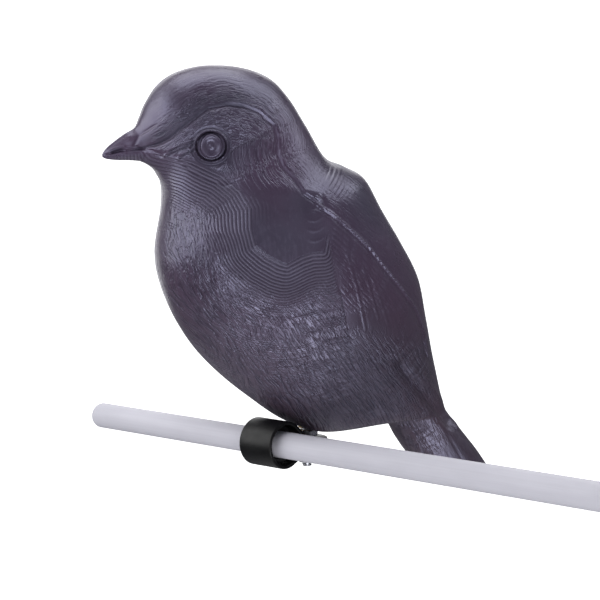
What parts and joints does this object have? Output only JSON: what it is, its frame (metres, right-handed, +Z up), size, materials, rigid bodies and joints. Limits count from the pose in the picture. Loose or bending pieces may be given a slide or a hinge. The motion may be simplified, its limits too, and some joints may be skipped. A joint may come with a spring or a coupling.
{
  "type": "perched songbird decoy",
  "caption": "Hollow moulded songbird decoy that swivels on a stud in a strap clip, which slides and turns on a straight round perch rod.",
  "frame": {"origin": "centre of the flat end face of the perch rod", "axes": "+X along the rod, out of its flat end; +Z up; the bird faces -Y, turned 31 degrees towards -X from square to the rod"},
  "size_m": [0.254, 0.1253, 0.1517],
  "materials": {
    "moulded_body": "satin, dark plum grey, slightly translucent, with fine layer lines",
    "eye_bead": "satin, same plastic as the body",
    "pin_plastic": "plain turned plastic",
    "insert_brass": "turned",
    "zinc_steel": "bright zinc plate",
    "black_strap": "satin black",
    "black_rubber": "matt",
    "rod_coating": "satin pale lavender grey"
  },
  "bodies": {
    "rod": {"perch_rod": "rod_coating"},
    "sleeve": {"rod_liner": "black_rubber"},
    "clip": {"clip_strap": "black_strap"},
    "bird": {"body_shell_left": "moulded_body", "body_shell_right": "moulded_body", "eye_left": "eye_bead", "eye_right": "eye_bead", "locating_pin_crown": "pin_plastic", "locating_pin_breast": "pin_plastic", "locating_pin_rump": "pin_plastic", "threaded_insert": "insert_brass", "stud": "zinc_steel", "jam_nut": "zinc_steel"},
    "washer": {"washer": "zinc_steel"},
    "nut": {"lock_nut": "zinc_steel"}
  },
  "joints": [
    {"name": "clip_slide", "type": "slide", "parent": "rod", "child": "sleeve", "axis": [1, 0, 0], "range_m": [-0.082, 0.146]},
    {"name": "clip_turn", "type": "hinge", "parent": "sleeve", "child": "clip", "pos_m": [-0.159, 0, 0], "axis": [1, 0, 0], "continuous": true},
    {"name": "bird_swivel", "type": "hinge", "parent": "clip", "child": "bird", "pos_m": [-0.159, 0.0184, 0], "axis": [0, 0, 1], "range_deg": [-29, 91]},
    {"name": "washer_drop", "type": "slide", "parent": "bird", "child": "washer", "axis": [0, 0, 1], "range_m": [-0.0028, 0]},
    {"name": "nut_turn", "type": "hinge", "parent": "washer", "child": "nut", "pos_m": [-0.159, 0.0184, 0], "axis": [0, 0, 1], "range_deg": [-1440, 0]}
  ],
  "couplings": [
    {"joint": "nut_turn", "follows": "washer_drop", "rad_per_m": 8976}
  ]
}
